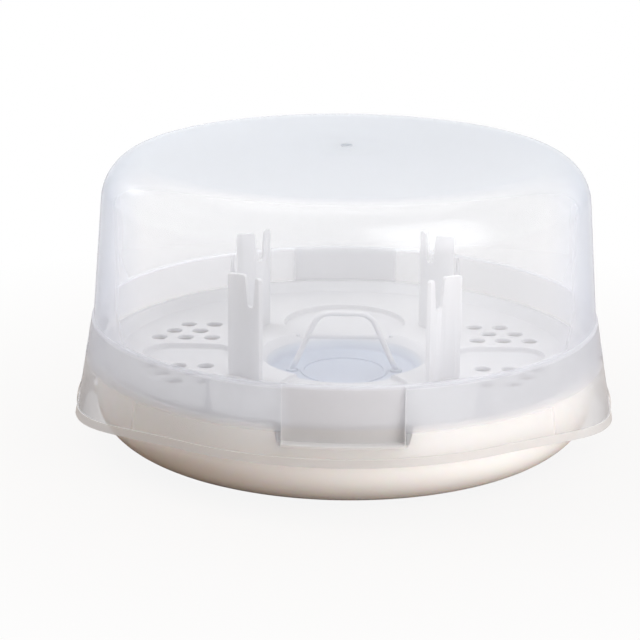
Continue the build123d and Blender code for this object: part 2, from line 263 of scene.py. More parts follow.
def rounded(points, closed=True, steps=4):
    """A chain of (across, up, radius) points with each corner turned into an arc."""
    made = []
    for i, (x, z, radius) in enumerate(points):
        inside = closed or 0 < i < len(points) - 1
        if radius == 0 or not inside:
            made.append((x, z))
            continue
        here = Vector((x, z))
        before = Vector(points[i - 1][:2]) - here
        after = Vector(points[(i + 1) % len(points)][:2]) - here
        half = before.angle(after) / 2
        run = radius / math.tan(half)
        first, last = here + before.normalized() * run, here + after.normalized() * run
        middle = here + (before.normalized() + after.normalized()).normalized() * (radius / math.sin(half))
        turn = (first - middle).angle_signed(last - middle)
        for step in range(steps + 1):
            spoke = (first - middle).copy()
            spoke.rotate(Matrix.Rotation(-turn * step / steps, 2))
            made.append(tuple(middle + spoke))
    return made


def drawn(name, outline, closed=False):
    """An upright outline drawn vertex by vertex from a plane; stays in edit mode."""
    bpy.ops.object.select_all(action="DESELECT")
    bpy.ops.mesh.primitive_plane_add(size=MM, location=(0, 0, 0))
    piece = bpy.context.active_object
    piece.name = name
    bpy.ops.object.mode_set(mode="EDIT")
    bpy.ops.mesh.select_all(action="SELECT")
    bpy.ops.mesh.merge(type="CENTER")
    bpy.ops.transform.translate(value=(outline[0][0], 0, outline[0][1]))
    for (r0, z0), (r1, z1) in zip(outline, outline[1:]):
        bpy.ops.mesh.extrude_region_move(TRANSFORM_OT_translate={"value": (r1 - r0, 0, z1 - z0)})
    bpy.ops.mesh.select_all(action="SELECT")
    if closed:
        bpy.ops.mesh.edge_face_add()
    return piece


def sealed(piece):
    """Merges doubles, turns the normals out and leaves edit mode."""
    bpy.ops.mesh.select_all(action="SELECT")
    bpy.ops.mesh.remove_doubles(threshold=0.001 * MM)
    bpy.ops.mesh.normals_make_consistent(inside=False)
    bpy.ops.object.mode_set(mode="OBJECT")
    return piece


def turned(name, outline, steps=SPIN_STEPS):
    """An outline turned all the way round the vertical axis."""
    piece = drawn(name, outline)
    bpy.ops.mesh.spin(steps=steps, angle=math.tau, center=(0, 0, 0), axis=(0, 0, 1))
    return sealed(piece)


def swept(name, outline, degrees, steps):
    """A closed outline swept round the vertical axis, by equal turns to both sides of +X."""
    piece = drawn(name, outline, closed=True)
    bpy.ops.mesh.spin(steps=steps, angle=math.radians(degrees), center=(0, 0, 0), axis=(0, 0, 1))
    sealed(piece)
    # spin turns clockwise seen from above
    return placed(piece, Matrix.Rotation(math.radians(degrees / 2), 4, "Z"))


def stretched(name, outline, pull, steps=48):
    """A turned solid whose two halves are pulled apart along X; the outline stays off the axis."""
    piece = drawn(name, outline)
    bpy.ops.mesh.spin(steps=steps, angle=math.tau, center=(0, 0, 0), axis=(0, 0, 1))
    bpy.ops.mesh.select_all(action="SELECT")
    bpy.ops.mesh.remove_doubles(threshold=0.001 * MM)
    bpy.ops.mesh.fill_holes(sides=0)
    sealed(piece)
    placed(piece, Matrix.Rotation(math.pi / steps, 4, "Z"))
    for point in piece.data.vertices:
        point.co.x += math.copysign(pull, point.co.x)
    return piece


def prism(name, outline, front, back):
    """A closed upright outline pulled along Y, from front to back."""
    piece = drawn(name, outline, closed=True)
    bpy.ops.transform.translate(value=(0, front, 0))
    bpy.ops.mesh.extrude_region_move(TRANSFORM_OT_translate={"value": (0, back - front, 0)})
    return sealed(piece)


def block(name, low, high):
    bpy.ops.object.select_all(action="DESELECT")
    bpy.ops.mesh.primitive_cube_add(size=1)
    piece = bpy.context.active_object
    piece.name = name
    low, high = Vector(low), Vector(high)
    return placed(piece, Matrix.Translation((low + high) / 2) @ Matrix.Diagonal((*(high - low), 1)))


def rod(name, radius, ends, sides=48):
    """A round bar between two points."""
    start, end = Vector(ends[0]), Vector(ends[1])
    bpy.ops.object.select_all(action="DESELECT")
    bpy.ops.mesh.primitive_cylinder_add(vertices=sides, radius=radius, depth=(end - start).length)
    piece = bpy.context.active_object
    piece.name = name
    turn = (end - start).to_track_quat("Z", "Y").to_matrix().to_4x4()
    return placed(piece, Matrix.Translation((start + end) / 2) @ turn)


def placed(piece, matrix):
    """Moves a piece and takes the move into its mesh."""
    piece.data.transform(matrix)
    if matrix.determinant() < 0:
        piece.data.flip_normals()
    piece.data.update()
    return piece


def copy_of(piece, matrix):
    twin = piece.copy()
    twin.data = piece.data.copy()
    bpy.context.scene.collection.objects.link(twin)
    bpy.context.view_layer.update()
    return placed(twin, matrix)


def joined(pieces):
    bpy.ops.object.select_all(action="DESELECT")
    for piece in pieces:
        piece.select_set(True)
    bpy.context.view_layer.objects.active = pieces[0]
    bpy.ops.object.join()
    return bpy.context.active_object


def with_opposite(piece):
    """A piece and its copy turned half round, as one."""
    return joined([piece, copy_of(piece, TURN_Z)])


def combined(piece, other, operation):
    """Boolean of two solids; the second is used up."""
    select_only(piece)
    cut = piece.modifiers.new("Combine", "BOOLEAN")
    cut.operation = operation
    cut.solver = "EXACT"
    cut.object = other
    bpy.ops.object.modifier_apply(modifier=cut.name)
    bpy.data.objects.remove(other)
    return piece


def edges_rounded(piece, radius, angle=40, segments=3):
    select_only(piece)
    bevel = piece.modifiers.new("Moulded edges", "BEVEL")
    bevel.width = radius
    bevel.segments = segments
    bevel.limit_method = "ANGLE"
    bevel.angle_limit = math.radians(angle)
    bevel.use_clamp_overlap = True
    bpy.ops.object.modifier_apply(modifier=bevel.name)
    return smoothed(piece, angle)


def smoothed(piece, angle=40):
    """Smooth shading that keeps flat faces flat beside their rounded edges."""
    select_only(piece)
    bpy.ops.object.shade_smooth_by_angle(angle=math.radians(angle))
    weigh = piece.modifiers.new("Even shading", "WEIGHTED_NORMAL")
    weigh.keep_sharp = True
    bpy.ops.object.modifier_apply(modifier=weigh.name)
    return piece


def finish(piece, material):
    piece.data.materials.clear()
    piece.data.materials.append(material)


# --------------------------------------------------------------- materials
def graded(tree, source, output, stops):
    """A colour ramp over a value, from (value, colour) stops; a number stands for a grey level."""
    ramp = node(tree, "ShaderNodeValToRGB", [(source, output, "Fac")])
    elements = ramp.color_ramp.elements
    while len(elements) < len(stops):
        elements.new(0.5)
    for element, (position, colour) in zip(elements, stops):
        element.position = position
        element.color = linear(colour) if isinstance(colour, str) else (colour, colour, colour, 1)
    return ramp


def by_height(tree, spot, stops):
    """A colour ramp up the object, from (millimetres above the floor, colour) stops."""
    full = measured(tree, (spot, "Z"), "DIVIDE", RAMP_TOP * MM)
    return graded(tree, full, 0, [(height / RAMP_TOP, colour) for height, colour in stops])


def measured(tree, first, operation, second):
    """A Math node on two inputs, each a number or a (node, output) pair."""
    made = node(tree, "ShaderNodeMath", operation=operation)
    for i, value in enumerate((first, second)):
        if isinstance(value, tuple):
            tree.links.new(value[0].outputs[value[1]], made.inputs[i])
        else:
            made.inputs[i].default_value = value
    return made


def clear_polypropylene(s):
    """Clarified PP, injection moulded in a thin wall: a clear view straight on, milky and
    faintly blue where the wall is seen edge-on. The crown, the bead, the skirt and its two
    panels are finely blasted and hide more of what is behind them."""
    material, tree = new_material("Clarified polypropylene, moulded")
    place = node(tree, "ShaderNodeTexCoord")
    spot = node(tree, "ShaderNodeSeparateXYZ", [(place, "Object", "Vector")])
    facing = node(tree, "ShaderNodeLayerWeight", Blend=0.5)

    # colour of the haze from the foot up: lip, skirt, dome wall, crown, gate mark; the haze is painted greyer
    # from the dome wall down to the skirt and lip, which is painted shade, and the darker gate mark is the
    # mark's own
    tone_and_painted_shade = by_height(tree, spot, [
        (43, "#E0DEDD"), (45, "#D8D8DB"), (63.2, "#D8D8DB"), (64, "#E4E4E8"), (105, "#EFEFF1"),
        (140, s.tint), (148, "#F5F5F5"), (152.1, "#F5F5F5"), (152.7, "#A9AEB6")])
    # a longer way through the wall near its outline takes out more light
    depth = graded(tree, facing, "Facing", [
        (0.45, "#FFFFFF"), (0.62, "#FAFBFD"), (0.90, "#E0E6EF"), (1.0, "#8595AE")])
    clear = node(tree, "ShaderNodeBsdfTransparent", [(depth, "Color", "Color")])
    scatter = node(tree, "ShaderNodeBsdfDiffuse", [(tone_and_painted_shade, "Color", "Color")])
    through = node(tree, "ShaderNodeBsdfTranslucent", [(tone_and_painted_shade, "Color", "Color")])
    # share of haze from the foot up: lip, skirt, bead, dome wall, crown, gate mark
    band = by_height(tree, spot, [
        (43, 0.30), (44.5, 0.50), (63.4, 0.50), (64.2, 0.68), (64.9, 0.68), (65.6, 0.25),
        (82, 0.21), (100, 0.20), (132, 0.15), (149, 0.26), (152.1, 0.26), (152.7, 0.70)])
    margin = 0.4 * MM
    across = measured(tree, (spot, "X"), "ABSOLUTE", 0.0)
    inside = measured(tree, (across, 0), "LESS_THAN", s.panel_half + margin)
    above = measured(tree, (spot, "Z"), "GREATER_THAN", s.panel_height - 1 * MM)
    below = measured(tree, (spot, "Z"), "LESS_THAN", s.bead_height - s.bead_step)
    panel = measured(tree, (inside, 0), "MULTIPLY", (measured(tree, (above, 0), "MULTIPLY", (below, 0)), 0))
    zone = measured(tree, (band, "Color"), "MAXIMUM", (measured(tree, (panel, 0), "MULTIPLY", 0.70), 0))
    # the lip stands out past the skirt's line
    level = node(tree, "ShaderNodeVectorMath", [(place, "Object", 0)], operation="MULTIPLY")
    level.inputs[1].default_value = (1, 1, 0)
    reach = node(tree, "ShaderNodeVectorMath", [(level, 0, 0)], operation="LENGTH")
    slope = measured(tree, (spot, "Z"), "MULTIPLY", math.tan(s.flare))
    line = measured(tree, (reach, "Value"), "ADD", (slope, 0))
    past = measured(tree, (line, 0), "GREATER_THAN", skirt_radius(s, 0) + margin)
    lip = measured(tree, (past, 0), "MULTIPLY", (measured(tree, (below, 0), "MULTIPLY", 0.70), 0))
    zone = measured(tree, (zone, 0), "MAXIMUM", (lip, 0))
    edge = measured(tree, (measured(tree, (facing, "Facing"), "POWER", 3.5), 0), "MULTIPLY", 0.45)
    haze = measured(tree, (zone, 0), "ADD", (edge, 0))
    haze.use_clamp = True
    # in the panels and the lip more of the light comes off the front
    share = measured(tree, (measured(tree, (panel, 0), "MAXIMUM", (lip, 0)), 0), "MULTIPLY", -0.35)
    share = measured(tree, (share, 0), "ADD", 0.78)
    body = node(tree, "ShaderNodeMixShader", [(share, 0, 0), (scatter, 0, 1), (through, 0, 2)])
    hazy = node(tree, "ShaderNodeMixShader", [(haze, 0, "Fac"), (clear, 0, 1), (body, 0, 2)])

    # polish: the mirror share of a 1.49 surface, from straight on to edge-on
    grazing = measured(tree, (facing, "Facing"), "POWER", 5.0)
    mirror = node(tree, "ShaderNodeMapRange", [(grazing, 0, "Value")], To_Min=0.025, To_Max=0.32)
    ripple = node(tree, "ShaderNodeTexNoise", [(place, "Object", "Vector")], Scale=45.0, Detail=1.0)
    bump = node(tree, "ShaderNodeBump", [(ripple, "Fac", "Height")], Strength=0.05, Distance=0.0004)
    gloss = node(tree, "ShaderNodeBsdfGlossy", [(bump, "Normal", "Normal")], Roughness=0.26)
    surface = node(tree, "ShaderNodeMixShader", [(mirror, 0, "Fac"), (hazy, 0, 1), (gloss, 0, 2)])
    node(tree, "ShaderNodeOutputMaterial", [(surface, 0, "Surface")])
    return material


def natural_polypropylene(tint):
    """Unpigmented PP: milky, light soaks in, satin shine; painted shade makes it darker and bluer down in the
    well, which sits over the water base.
    """
    material, tree = new_material("Natural polypropylene, moulded")
    place = node(tree, "ShaderNodeTexCoord")
    spot = node(tree, "ShaderNodeSeparateXYZ", [(place, "Object", "Vector")])
    # painted shade: the colour darkens and turns bluer from the deck down to the floor of the well
    tone_and_painted_shade = by_height(tree, spot, [(30, "#C6CFDE"), (34.5, "#D9DFE9"), (37.5, tint)])
    flow = node(tree, "ShaderNodeTexNoise", [(place, "Object", "Vector")], Scale=30.0, Detail=3.0)
    rough = node(tree, "ShaderNodeMapRange", [(flow, "Fac", "Value")], To_Min=0.28, To_Max=0.40)
    shader = node(tree, "ShaderNodeBsdfPrincipled",
                  [(rough, "Result", "Roughness"), (tone_and_painted_shade, "Color", "Base Color")], IOR=1.49)
    through = node(tree, "ShaderNodeBsdfTranslucent", [(tone_and_painted_shade, "Color", "Color")])
    surface = node(tree, "ShaderNodeMixShader", [(shader, 0, 1), (through, 0, 2)], Fac=0.4)
    node(tree, "ShaderNodeOutputMaterial", [(surface, 0, "Surface")])
    return material


def white_polypropylene(colour):
    """White pigmented PP, gloss moulded: opaque, soft highlights."""
    material, tree = new_material("White polypropylene, gloss moulded")
    place = node(tree, "ShaderNodeTexCoord")
    peel = node(tree, "ShaderNodeTexNoise", [(place, "Object", "Vector")], Scale=220.0, Detail=3.0)
    rough = node(tree, "ShaderNodeMapRange", [(peel, "Fac", "Value")], To_Min=0.25, To_Max=0.34)
    bump = node(tree, "ShaderNodeBump", [(peel, "Fac", "Height")], Strength=0.05, Distance=0.0003)
    shader = node(tree, "ShaderNodeBsdfPrincipled",
                  [(rough, "Result", "Roughness"), (bump, "Normal", "Normal")],
                  Base_Color=linear(colour), IOR=1.49, Subsurface_Weight=0.15, Subsurface_Scale=0.003)
    node(tree, "ShaderNodeOutputMaterial", [(shader, "BSDF", "Surface")])
    return material


# --------------------------------------------------------------- operators
class STERILISER_OT_stage(bpy.types.Operator):
    """Set up the camera, floor, room and lamps"""
    bl_idname = "steriliser.stage"
    bl_label = "Stage"

    def execute(self, context):
        s = context.scene.steriliser_stage
        add_camera(s)
        add_floor(s)
        add_room(s)
        # place, then width and height, in metres
        soft_box("Key soft box", (0.85, -0.95, 0.75), (1.2, 1.6), s.key_power)
        soft_box("Top soft box", (0.0, 0.35, 1.3), (1.2, 1.0), s.top_power)
        soft_box("Rim soft box", (-0.9, 0.7, 0.6), (0.1, 0.2), s.rim_power)
        soft_box("Fill soft box", (-1.0, 0.2, 1.1), (0.7, 0.7), s.fill_power, shine=False)
        return {"FINISHED"}


def add_camera(s):
    cy, sy = math.cos(s.camera_yaw), math.sin(s.camera_yaw)
    cp, sp = math.cos(s.camera_pitch), math.sin(s.camera_pitch)
    ahead = Vector((sy * cp, cy * cp, -sp))
    right = Vector((cy, -sy, 0))
    up = right.cross(ahead)
    roll = Matrix.Rotation(-s.camera_roll, 3, ahead)
    right, up = roll @ right, roll @ up
    data = bpy.data.cameras.new("Camera")
    data.lens = s.lens
    data.sensor_width = 36
    camera = bpy.data.objects.new("Camera", data)
    turn = Matrix((right, up, -ahead)).transposed()
    camera.matrix_world = Matrix.Translation((0, -s.camera_back, s.camera_height)) @ turn.to_4x4()
    bpy.context.scene.collection.objects.link(camera)
    bpy.context.scene.camera = camera


def add_floor(s):
    bpy.ops.mesh.primitive_plane_add(size=8, location=(0, 0, -0.0002))
    floor = bpy.context.active_object
    floor.name = "Floor"
    material, tree = new_material("Paper sweep")
    paper = node(tree, "ShaderNodeBsdfDiffuse", Color=linear(s.paper))
    glow = node(tree, "ShaderNodeEmission", Strength=1.0)
    path = node(tree, "ShaderNodeLightPath")
    place = node(tree, "ShaderNodeTexCoord")
    away = node(tree, "ShaderNodeVectorMath", [(place, "Object", 0)], operation="LENGTH")
    # the shadow shows near the object and fades into plain white further off
    bare = node(tree, "ShaderNodeMapRange", [(away, "Value", "Value")],
                From_Min=0.12, From_Max=0.4, To_Min=0.9, To_Max=1.0)
    seen = measured(tree, (path, "Is Camera Ray"), "MAXIMUM", (path, "Is Transmission Ray"))
    white = measured(tree, (seen, 0), "MULTIPLY", (bare, 0))
    mix = node(tree, "ShaderNodeMixShader", [(white, 0, 0), (paper, 0, 1), (glow, 0, 2)])
    node(tree, "ShaderNodeOutputMaterial", [(mix, 0, "Surface")])
    floor.data.materials.append(material)


def add_room(s):
    """White to the eye and in the plastic; on matt surfaces bright behind and above, warm and
    dim in front."""
    world = bpy.data.worlds.new("Studio")
    world.use_nodes = True
    tree = world.node_tree
    tree.nodes.clear()
    path = node(tree, "ShaderNodeLightPath")
    seen = measured(tree, (path, "Is Camera Ray"), "MAXIMUM", (path, "Is Glossy Ray"))
    seen = measured(tree, (seen, 0), "MAXIMUM", (path, "Is Transmission Ray"))
    place = node(tree, "ShaderNodeTexCoord")
    side = node(tree, "ShaderNodeVectorMath", [(place, "Generated", 0)], operation="DOT_PRODUCT")
    side.inputs[1].default_value = (0.35, 0.78, 0.52)
    wall = graded(tree, side, "Value", [(0.1, s.room_shade), (0.55, 1.0)])
    dim = node(tree, "ShaderNodeBackground", [(wall, "Color", "Color")], Strength=s.world_level)
    white = node(tree, "ShaderNodeBackground", Color=(1, 1, 1, 1), Strength=1.0)
    mix = node(tree, "ShaderNodeMixShader", [(seen, 0, 0), (dim, 0, 1), (white, 0, 2)])
    node(tree, "ShaderNodeOutputWorld", [(mix, 0, "Surface")])
    bpy.context.scene.world = world


def soft_box(name, place, size, power, shine=True):
    data = bpy.data.lights.new(name, "AREA")
    data.shape = "RECTANGLE"
    data.size, data.size_y = size
    data.energy = power
    lamp = bpy.data.objects.new(name, data)
    lamp.location = place
    lamp.rotation_mode = "QUATERNION"
    lamp.rotation_quaternion = (LAMP_AIM - Vector(place)).to_track_quat("-Z", "Y")
    lamp.visible_glossy = shine
    bpy.context.scene.collection.objects.link(lamp)


class STERILISER_OT_base(bpy.types.Operator):
    """Model the white water base"""
    bl_idname = "steriliser.base"
    bl_label = "Base"

    def execute(self, context):
        s = context.scene.steriliser_base
        piece = water_base(s)
        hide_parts("base_bowl")
        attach(piece, "base")
        finish(piece, white_polypropylene(s.colour))
        return {"FINISHED"}


def water_base(s):
    foot = s.radius - s.corner_width

    def corner(wall, floor):
        """The rounded corner, a quarter of an ellipse."""
        wide, high = s.corner_width - wall, s.corner_height - floor
        turns = [math.radians(90 * i / 16) for i in range(17)]
        return [(foot + wide * math.sin(t), s.corner_height - high * math.cos(t)) for t in turns]

    inner_floor = s.recess + s.floor
    ring = foot - s.foot_ring
    outline = [(0, s.recess), (ring, s.recess), (ring, 0), *corner(0, 0), (s.radius, s.rim_height),
               (s.radius - s.wall, s.rim_height), *reversed(corner(s.wall, inner_floor)), (0, inner_floor)]
    piece = turned("water_base", outline)

    rise = s.rim_height - s.notch_height
    top = s.notch_half + rise * math.tan(s.notch_slant)
    over = s.rim_height + 5 * MM
    notch = [(-s.notch_half, s.notch_height), (s.notch_half, s.notch_height), (top, s.rim_height),
             (top, over), (-top, over), (-top, s.rim_height)]
    for front, back in ((-1.2 * s.radius, -foot), (foot, 1.2 * s.radius)):
        combined(piece, prism("notch", notch, front, back), "DIFFERENCE")

    ledge = swept("ledge", [
        (s.radius - s.wall / 2, s.ledge_low), (s.radius + s.ledge_reach, s.ledge_low),
        (s.radius + s.ledge_reach, s.ledge_low + s.ledge_height),
        (s.radius - s.wall / 2, s.ledge_low + s.ledge_height)], 12, 8)
    half = s.ledge_width / 2
    ledge = combined(ledge, block("trim", (0, -half, 0), (2 * s.radius, half, s.rim_height)), "INTERSECT")
    combined(piece, with_opposite(ledge), "UNION")
    return edges_rounded(piece, s.edge_round)


class STERILISER_OT_tray(bpy.types.Operator):
    """Model the perforated tray, its four forked posts and the lifting loop"""
    bl_idname = "steriliser.tray"
    bl_label = "Tray and posts"

    def execute(self, context):
        s = context.scene.steriliser_tray
        material = natural_polypropylene(s.tint)
        pieces = {"steam_tray": perforated_tray(s), "tray_handle": lifting_loop(s)}
        post = forked_post(s)
        corners = {"rear_right": Matrix.Identity(4), "rear_left": FLIP_X, "front_right": FLIP_Y,
                   "front_left": TURN_Z}
        for corner, matrix in corners.items():
            twin = copy_of(post, matrix)
            twin.name = f"forked_post_{corner}"
            pieces[f"bottle_post_{corner}"] = twin
        bpy.data.objects.remove(post)
        for cad_name, piece in pieces.items():
            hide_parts(cad_name)
            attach(piece, "tray")
            finish(piece, material)
        return {"FINISHED"}


def perforated_tray(s):
    t, e = s.wall, s.edge_round
    deck, seat = s.deck_height, s.seat_height
    step, floor = deck - s.step_drop, deck - s.basin_depth
    foot = s.step_radius - s.basin_draft
    ring_low, ring_high = s.ring_radius - 1 * MM, s.ring_radius + 1 * MM
    ring_top = floor + s.ring_height
    outline = rounded([
        (0, floor, 0), (ring_low, floor, 0.3 * MM), (ring_low, ring_top, 0.3 * MM),
        (ring_high, ring_top, 0.3 * MM), (ring_high, floor, 0.3 * MM), (foot, floor, 2 * MM),
        (s.step_radius, step, 1.5 * MM), (s.basin_radius, deck, 1.2 * MM), (s.deck_radius, deck, 1.5 * MM),
        (s.wall_radius - t, seat + t, 1.2 * MM), (s.flange_radius, seat + t, e), (s.flange_radius, seat, e),
        (s.wall_radius, seat, 0.6 * MM), (s.deck_radius + t, deck - t, 1 * MM),
        (s.basin_radius + t, deck - t, 1 * MM), (s.step_radius + t, step - t / 2, 1 * MM),
        (foot + t, floor - t, 1 * MM), (0, floor - t, 0)])
    piece = turned("perforated_tray", outline)

    # round pockets front and rear, long ones left and right, all hung under the deck
    low = deck - s.pocket_depth
    trough_middle = (s.trough_inner + s.trough_outer) / 2
    stretch = (s.trough_outer - s.trough_inner - s.trough_width) / 2
    pocket = (s.pocket_radius, (0, s.pocket_offset, 0), 0)
    trough = (s.trough_width / 2, (trough_middle, 0, 0), stretch)
    cups, hollows = [], []
    for radius, middle, pull in (pocket, trough):
        cup = stretched("cup", rounded([
            (radius / 2, low - t, 0), (radius + t, low - t, 1 * MM), (radius + t, deck - t / 2, 0),
            (radius / 2, deck - t / 2, 0)]), pull)
        hollow = stretched("hollow", rounded([
            (radius / 2, low, 0), (radius, low, 1 * MM), (radius, deck - e, 0)])
            + arc((radius + e, deck - e), e, 180, 105, 4)
            + [(radius + e, deck + 1 * MM), (radius / 2, deck + 1 * MM)], pull)
        for made, kept in ((cup, cups), (hollow, hollows)):
            placed(made, Matrix.Translation(middle))
            kept.extend([made, copy_of(made, TURN_Z)])
    well = rod("well", s.step_radius + t, ((0, 0, floor - 2 * t), (0, 0, deck + t)), SPIN_STEPS)
    cups = combined(joined(cups), well, "DIFFERENCE")
    combined(piece, cups, "UNION")
    combined(piece, joined(hollows), "DIFFERENCE")

    drill = stretched("drill", [
        (s.hole_radius / 4, low - t), (s.hole_radius, low - t), (s.hole_radius, deck - e),
        *arc((s.hole_radius + e, deck - e), e, 180, 105, 3), (s.hole_radius + e, deck + 1 * MM),
        (s.hole_radius / 4, deck + 1 * MM)], 0, 32)
    drills = [copy_of(drill, Matrix.Translation((sx * x, sy * y, 0)))
              for x, y in hole_places(s) for sx in (-1, 1) for sy in (-1, 1)]
    bpy.data.objects.remove(drill)
    combined(piece, joined(drills), "DIFFERENCE")
    return smoothed(piece)


def hole_places(s):
    """Hexagonal rows in one quarter of the deck, kept off the trough, the post and the wall."""
    row_gap = s.hole_pitch * math.sin(math.radians(60))
    places = []
    for row in range(3):
        for column in range(3):
            x = s.hole_first + (column + (row % 2) / 2) * s.hole_pitch
            y = s.hole_row_start + row * row_gap
            if math.hypot(x, y) < s.deck_radius - 2 * s.hole_radius:
                places.append((x, y))
    return places


def forked_post(s):
    """The rear right post: a curved plate whose top is cut to a fork."""
    half = math.degrees(math.asin(s.post_chord / 2 / s.post_curve))
    outer, inner = s.post_curve + s.post_thickness / 2, s.post_curve - s.post_thickness / 2
    low = s.deck_height - s.post_tongue
    section = rounded([(inner, low, 0), (outer, low, 0), (outer, s.post_top, 0.5 * MM),
                       (inner, s.post_top, 0.5 * MM)])
    piece = swept("forked_post", section, 2 * half, 20)
    # hollow side towards +X, middle of the plate on the axis
    placed(piece, Matrix.Translation((s.post_curve, 0, 0)) @ TURN_Z)

    reach = outer * math.sin(math.radians(half)) + 0.05 * MM
    floor = s.post_top - s.fork_depth
    mouth, throat, c = s.fork_width / 2, s.fork_floor, s.fork_offset
    over = s.post_top + 0.01 * MM
    face = rounded([
        (-reach, low - 1 * MM, 0), (reach, low - 1 * MM, 0), (reach, over, s.horn_round),
        (c + mouth, over, s.horn_round), (c + throat, floor, 0.85 * throat),
        (c - throat, floor, 0.85 * throat), (c - mouth, over, s.horn_round), (-reach, over, s.horn_round)])
    shape = prism("post_face", face, -2 * s.post_curve, 2 * s.post_curve)
    placed(shape, Matrix.Rotation(math.pi / 2, 4, "Z"))
    combined(piece, shape, "INTERSECT")
    placed(piece, Matrix.Translation((s.post_x, s.post_y, 0)) @ Matrix.Rotation(s.post_heading, 4, "Z"))
    return edges_rounded(piece, 0.3 * MM, angle=50, segments=2)


def lifting_loop(s):
    """A round rod bent to a trapezium, with a cross bar and two foot pads."""
    floor = s.deck_height - s.basin_depth
    radius = s.loop_rod / 2
    foot, top = s.loop_foot / 2, s.loop_top_width / 2
    low, high = floor + s.pad_height / 2, s.loop_top - radius
    path = rounded([(-foot, low, 0), (-top, high, s.loop_corner), (top, high, s.loop_corner), (foot, low, 0)],
                   closed=False, steps=10)
    piece = drawn("lifting_loop", path)
    bpy.ops.object.mode_set(mode="OBJECT")
    select_only(piece)
    bpy.ops.object.convert(target="CURVE")
    piece.data.bevel_depth = radius
    piece.data.bevel_resolution = 8
    piece.data.use_fill_caps = True
    bpy.ops.object.convert(target="MESH")
    bpy.ops.object.mode_set(mode="EDIT")
    sealed(piece)

    reach = foot - (foot - top) * (s.loop_bar - low) / (high - low)
    bar = rod("bar", radius * 0.995, ((-reach, 0, s.loop_bar), (reach, 0, s.loop_bar)), 32)
    combined(piece, bar, "UNION")
    trim = block("trim", (-2 * foot, -2 * foot, floor - 30 * MM), (2 * foot, 2 * foot, floor + 0.02 * MM))
    combined(piece, trim, "DIFFERENCE")
    pad_top = floor + s.pad_height
    pad = turned("pad", rounded([(0, floor, 0), (s.pad_radius, floor, 0), (s.pad_radius, pad_top, 0.4 * MM),
                                 (0, pad_top, 0)]), 48)
    pads = [copy_of(pad, Matrix.Translation((side * foot, 0, 0))) for side in (-1, 1)]
    bpy.data.objects.remove(pad)
    combined(piece, joined(pads), "UNION")
    return smoothed(piece)


class STERILISER_OT_lid(bpy.types.Operator):
    """Model the clear lid and its clips"""
    bl_idname = "steriliser.lid"
    bl_label = "Lid and clips"

    def execute(self, context):
        s = context.scene.steriliser_lid
        material = clear_polypropylene(s)
        lid = clear_lid(s)
        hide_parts("lid_dome")
        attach(lid, "lid")
        finish(lid, material)
        right = side_clip(s)
        for side, piece in (("right", right), ("left", copy_of(right, FLIP_X))):
            piece.name = f"lid_clip_{side}"
            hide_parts(f"side_clip_{side}")
            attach(piece, f"clip_{side}")
            finish(piece, material)
        return {"FINISHED"}


def skirt_radius(s, height):
    return s.bead_radius + s.bead_step + (s.bead_height - s.bead_step - height) * math.tan(s.flare)


def dome_outline(s, inset):
    """From the middle of the crown over the shoulder to the foot of the dome wall."""
    lean = math.atan2(s.bead_radius - s.corner_radius, s.corner_height - s.bead_height)
    crown = s.crown - s.corner_height
    big = (s.corner_radius ** 2 + crown ** 2) / (2 * crown)
    low_middle = s.crown - big
    radius = s.shoulder - inset
    # the shoulder touches the wall line and the inside of the crown's arc
    reach = big - s.shoulder

    def off(r):
        """How far a shoulder centred at this radius, against the wall, misses the crown."""
        z = s.bead_height + (s.bead_radius - s.shoulder / math.cos(lean) - r) / math.tan(lean)
        return math.hypot(r, z - low_middle) - reach, z

    low, high = s.corner_radius - 1.3 * s.shoulder, s.bead_radius - s.shoulder
    for _ in range(60):
        middle = (low + high) / 2
        if off(middle)[0] > 0:
            low = middle
        else:
            high = middle
    centre = (middle, off(middle)[1])
    meet = math.degrees(math.atan2(centre[1] - low_middle, centre[0]))
    return [*arc((0, low_middle), big - inset, 90, meet, 16)[:-1],
            *arc(centre, radius, meet, math.degrees(lean), 14),
            (s.bead_radius - inset, s.bead_height)]


def lid_outline(s, inset, low):
    """One side of the lid's wall, from the middle of the crown to the foot of the skirt."""
    outline = dome_outline(s, inset)
    (r_high, z_high), (r_low, z_low) = outline[-2:]
    # rings close to the bead keep the cuts there from spoiling the long wall
    rings = [z_low + rise for rise in (12 * MM, 3 * MM, 1 * MM)]
    wall = [(r_low + (r_high - r_low) * (z - z_low) / (z_high - z_low), z, 0) for z in rings]
    step = s.bead_height - s.bead_step
    skirt = [step - 2 * MM, s.panel_height + 1 * MM, s.edge_height + s.lip + 2 * MM, low]
    lower = rounded([
        *wall, (r_low, z_low, 0.5 * MM), (skirt_radius(s, step) - inset, step, 0.5 * MM),
        *[(skirt_radius(s, z) - inset, z, 0) for z in skirt]], closed=False)
    return [*outline[:-1], *lower]


